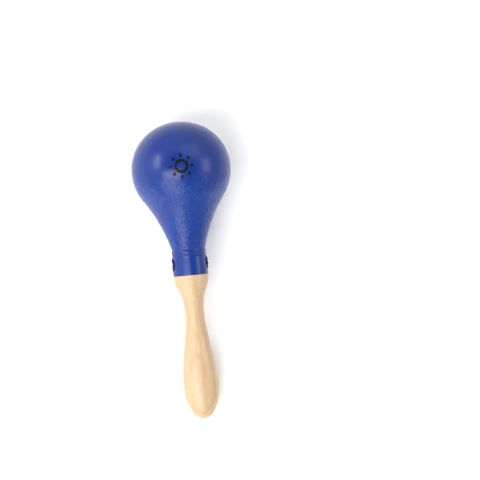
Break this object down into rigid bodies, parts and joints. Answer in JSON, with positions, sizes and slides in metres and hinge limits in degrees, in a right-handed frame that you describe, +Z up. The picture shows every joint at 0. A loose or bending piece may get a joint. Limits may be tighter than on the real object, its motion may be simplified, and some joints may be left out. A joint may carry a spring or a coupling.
{
  "type": "maraca",
  "caption": "Hand rattle: hollow pear-shaped plastic head with loose shot inside, screwed to a turned wooden handle.",
  "frame": {"origin": "middle of the floor under the maraca as it lies on its side, on the bulb and the butt", "axes": "+Z up; +X from the butt towards the crown of the head, level; the long axis itself rises towards the head in the XZ plane; the screws are on +Y (left) and -Y (right)"},
  "size_m": [0.2554, 0.086, 0.086],
  "materials": {
    "head_plastic": "blue moulded plastic, smooth satin-gloss bulb, fine grain on the lower bulb and cone",
    "handle_wood": "turned pale hardwood under clear lacquer",
    "screw_metal": "bright nickel plate",
    "washer_rubber": "black, satin",
    "shot_plastic": "hard off-white plastic"
  },
  "bodies": {
    "rattle": {"head_shell": "head_plastic", "handle": "handle_wood", "screw_left": "screw_metal", "screw_right": "screw_metal", "washer_left": "washer_rubber", "washer_right": "washer_rubber"},
    "shot_row_1": {"shot_row_1": "shot_plastic"},
    "shot_row_2": {"shot_row_2": "shot_plastic"},
    "shot_row_3": {"shot_row_3": "shot_plastic"},
    "shot_row_4": {"shot_row_4": "shot_plastic"},
    "shot_row_5": {"shot_row_5": "shot_plastic"},
    "shot_heap": {"shot_heap": "shot_plastic"},
    "shot_tossed": {"shot_tossed": "shot_plastic"}
  },
  "joints": [
    {"name": "swirl_1", "type": "hinge", "parent": "rattle", "child": "shot_row_1", "pos_m": [0.08648, 0, 0.043], "axis": [0.9894, 0, 0.1454], "continuous": true},
    {"name": "swirl_2", "type": "hinge", "parent": "rattle", "child": "shot_row_2", "pos_m": [0.08648, 0, 0.043], "axis": [0.9894, 0, 0.1454], "continuous": true},
    {"name": "swirl_3", "type": "hinge", "parent": "rattle", "child": "shot_row_3", "pos_m": [0.08648, 0, 0.043], "axis": [0.9894, 0, 0.1454], "continuous": true},
    {"name": "swirl_4", "type": "hinge", "parent": "rattle", "child": "shot_row_4", "pos_m": [0.08648, 0, 0.043], "axis": [0.9894, 0, 0.1454], "continuous": true},
    {"name": "swirl_5", "type": "hinge", "parent": "rattle", "child": "shot_row_5", "pos_m": [0.08648, 0, 0.043], "axis": [0.9894, 0, 0.1454], "continuous": true},
    {"name": "rock", "type": "hinge", "parent": "rattle", "child": "shot_heap", "pos_m": [0.08648, 0, 0.043], "axis": [0, 1, 0], "range_deg": [-75, 75]},
    {"name": "toss", "type": "slide", "parent": "shot_heap", "child": "shot_tossed", "axis": [0, 0, 1], "range_m": [0, 0.055]}
  ]
}
